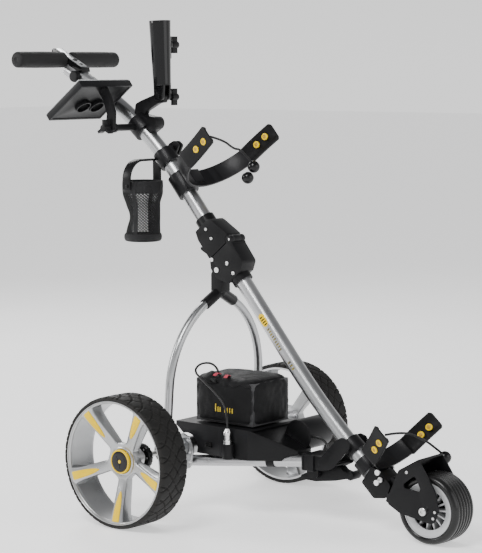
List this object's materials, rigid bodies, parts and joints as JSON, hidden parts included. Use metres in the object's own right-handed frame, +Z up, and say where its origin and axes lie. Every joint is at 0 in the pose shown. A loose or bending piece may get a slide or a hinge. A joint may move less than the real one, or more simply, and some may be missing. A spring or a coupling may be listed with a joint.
{
  "type": "electric golf trolley",
  "caption": "Folding electric golf trolley with a bent main tube, arched rear legs, battery deck, bag cradles, grip bar and scorecard, umbrella and drink holders.",
  "frame": {"origin": "On the ground under the middle of the trolley's overall length and width.", "axes": "+X is the direction of travel, +Y the trolley's left side, +Z up."},
  "size_m": [1.1534, 0.6622, 1.0869],
  "materials": {
    "silver_tube": "satin",
    "black_moulding": "satin",
    "black_gloss": "gloss",
    "grip_foam": "matte",
    "tyre_rubber": "matte",
    "rim_silver": "satin",
    "yellow_trim": "gloss",
    "fastener_steel": "brushed",
    "axle_steel": "polished",
    "plug_metal": "polished",
    "bag_fabric": "woven",
    "mesh_fabric": "open mesh",
    "pad_rubber": "matte",
    "cord_fabric": "braided",
    "cable_rubber": "satin",
    "battery_case": "matte",
    "motor_steel": "satin",
    "grey_wheel": "satin",
    "lid_grey": "satin"
  },
  "bodies": {
    "frame": {"main_tube_lower": "silver_tube", "fold_socket": "black_moulding", "front_bracket": "black_moulding", "fork_clamp": "black_moulding", "frame_fasteners": "fastener_steel", "fork": "black_moulding", "lower_cradle": "black_moulding", "lower_pads": "pad_rubber", "lower_bungee": "cord_fabric", "lower_toggles": "black_gloss"},
    "front_lock": {"front_lock": "black_moulding"},
    "handle": {"main_tube_upper": "silver_tube", "fold_cap": "black_moulding", "handle_bar": "silver_tube", "grips": "grip_foam", "control_pod": "black_gloss", "accessory_clamp": "black_moulding", "cup_clamp": "black_moulding", "cup_yoke": "black_moulding", "upper_cradle": "black_moulding", "upper_pads": "pad_rubber", "upper_bungee": "cord_fabric", "upper_toggles": "black_gloss"},
    "power_button": {"power_button": "black_gloss"},
    "timer_button": {"timer_button": "black_gloss"},
    "speed_dial": {"speed_dial": "black_moulding"},
    "scorecard": {"scorecard_tray": "black_gloss"},
    "scorecard_lid": {"scorecard_lid": "lid_grey"},
    "accessory_knob": {"accessory_knob": "black_moulding"},
    "umbrella": {"umbrella_holder": "black_gloss"},
    "umbrella_knob": {"umbrella_knob": "black_moulding"},
    "umbrella_pivot_knob": {"umbrella_pivot_knob": "black_moulding"},
    "cup": {"mesh_cup": "mesh_fabric"},
    "fold_latch": {"fold_latch": "black_moulding"},
    "rear_legs": {"leg_yoke": "black_moulding", "legs": "silver_tube", "axle_housing": "silver_tube", "drive_motors": "motor_steel"},
    "lower_frame": {"lower_frame_tubes": "silver_tube", "axle_plates": "silver_tube", "front_block": "black_moulding", "battery_tray": "black_moulding", "battery": "battery_case", "battery_bag": "bag_fabric", "battery_cable": "cable_rubber", "battery_plug": "plug_metal", "controller_housing": "black_gloss", "wiring": "cable_rubber"},
    "wheel_left": {"tyre_left": "tyre_rubber", "rim_left": "rim_silver", "spoke_inserts_left": "yellow_trim", "axle_shaft_left": "axle_steel"},
    "wheel_right": {"tyre_right": "tyre_rubber", "rim_right": "rim_silver", "spoke_inserts_right": "yellow_trim", "axle_shaft_right": "axle_steel"},
    "hub_button_left": {"hub_cap_left": "yellow_trim"},
    "hub_button_right": {"hub_cap_right": "yellow_trim"},
    "front_wheel": {"front_tyre": "tyre_rubber", "front_rim": "grey_wheel"}
  },
  "joints": [
    {"name": "handle_fold", "type": "hinge", "parent": "frame", "child": "handle", "pos_m": [-0.03062, 0, 0.60407], "axis": [0, 1, 0], "range_deg": [0, 108]},
    {"name": "leg_fold", "type": "hinge", "parent": "frame", "child": "rear_legs", "pos_m": [-0.0644, 0, 0.53391], "axis": [0, -1, 0], "range_deg": [0, 14]},
    {"name": "lower_frame_fold", "type": "hinge", "parent": "rear_legs", "child": "lower_frame", "pos_m": [-0.10026, 0, 0.143], "axis": [0, 1, 0], "range_deg": [0, 47]},
    {"name": "front_lock_lever", "type": "hinge", "parent": "lower_frame", "child": "front_lock", "pos_m": [0.19974, 0, 0.109], "axis": [0, 1, 0], "range_deg": [0, 25]},
    {"name": "wheel_left_spin", "type": "hinge", "parent": "rear_legs", "child": "wheel_left", "pos_m": [-0.10026, 0.291, 0.143], "axis": [0, 1, 0], "continuous": true},
    {"name": "wheel_right_spin", "type": "hinge", "parent": "rear_legs", "child": "wheel_right", "pos_m": [-0.10026, -0.291, 0.143], "axis": [0, 1, 0], "continuous": true},
    {"name": "front_wheel_spin", "type": "hinge", "parent": "frame", "child": "front_wheel", "pos_m": [0.50274, 0, 0.074], "axis": [0, 1, 0], "continuous": true},
    {"name": "hub_button_left_press", "type": "slide", "parent": "wheel_left", "child": "hub_button_left", "axis": [0, -1, 0], "range_m": [0, 0.003], "stiffness_N_per_m": 600, "springref_m": -0.001},
    {"name": "hub_button_right_press", "type": "slide", "parent": "wheel_right", "child": "hub_button_right", "axis": [0, 1, 0], "range_m": [0, 0.003], "stiffness_N_per_m": 600, "springref_m": -0.001},
    {"name": "power_button_press", "type": "slide", "parent": "handle", "child": "power_button", "axis": [-0.4588, 0, -0.8886], "range_m": [0, 0.0015], "stiffness_N_per_m": 400, "springref_m": -0.001},
    {"name": "timer_button_press", "type": "slide", "parent": "handle", "child": "timer_button", "axis": [-0.4588, 0, -0.8886], "range_m": [0, 0.0012], "stiffness_N_per_m": 400, "springref_m": -0.001},
    {"name": "speed_dial_turn", "type": "hinge", "parent": "handle", "child": "speed_dial", "pos_m": [-0.49126, -0.025, 0.96], "axis": [0, -1, 0], "range_deg": [0, 270]},
    {"name": "scorecard_tilt", "type": "hinge", "parent": "handle", "child": "scorecard", "pos_m": [-0.30626, -0.105, 0.846], "axis": [0, 1, 0], "range_deg": [-30, 30]},
    {"name": "scorecard_lid_open", "type": "hinge", "parent": "scorecard", "child": "scorecard_lid", "pos_m": [-0.32545, -0.105, 0.95254], "axis": [0, 1, 0], "range_deg": [0, 110]},
    {"name": "scorecard_knob_turn", "type": "hinge", "parent": "handle", "child": "accessory_knob", "pos_m": [-0.30626, -0.12, 0.846], "axis": [0, -1, 0], "range_deg": [0, 360]},
    {"name": "umbrella_tilt", "type": "hinge", "parent": "handle", "child": "umbrella", "pos_m": [-0.24226, 0, 0.914], "axis": [0, 1, 0], "range_deg": [-35, 45]},
    {"name": "umbrella_knob_turn", "type": "hinge", "parent": "umbrella", "child": "umbrella_knob", "pos_m": [-0.24652, 0.046, 1.03191], "axis": [0, 1, 0], "range_deg": [0, 360]},
    {"name": "umbrella_pivot_knob_turn", "type": "hinge", "parent": "handle", "child": "umbrella_pivot_knob", "pos_m": [-0.24226, 0.04, 0.914], "axis": [0, 1, 0], "range_deg": [0, 360]},
    {"name": "cup_swing", "type": "hinge", "parent": "handle", "child": "cup", "pos_m": [-0.25026, -0.06, 0.717], "axis": [0, 1, 0], "range_deg": [-40, 40]},
    {"name": "fold_latch_release", "type": "hinge", "parent": "handle", "child": "fold_latch", "pos_m": [-0.09482, 0, 0.57416], "axis": [0, 1, 0], "range_deg": [0, 12], "stiffness_Nm_per_rad": 1.5, "springref_deg": -2.86}
  ],
  "couplings": [
    {"joint": "lower_frame_fold", "follows": "leg_fold", "ratio": 3.33}
  ]
}
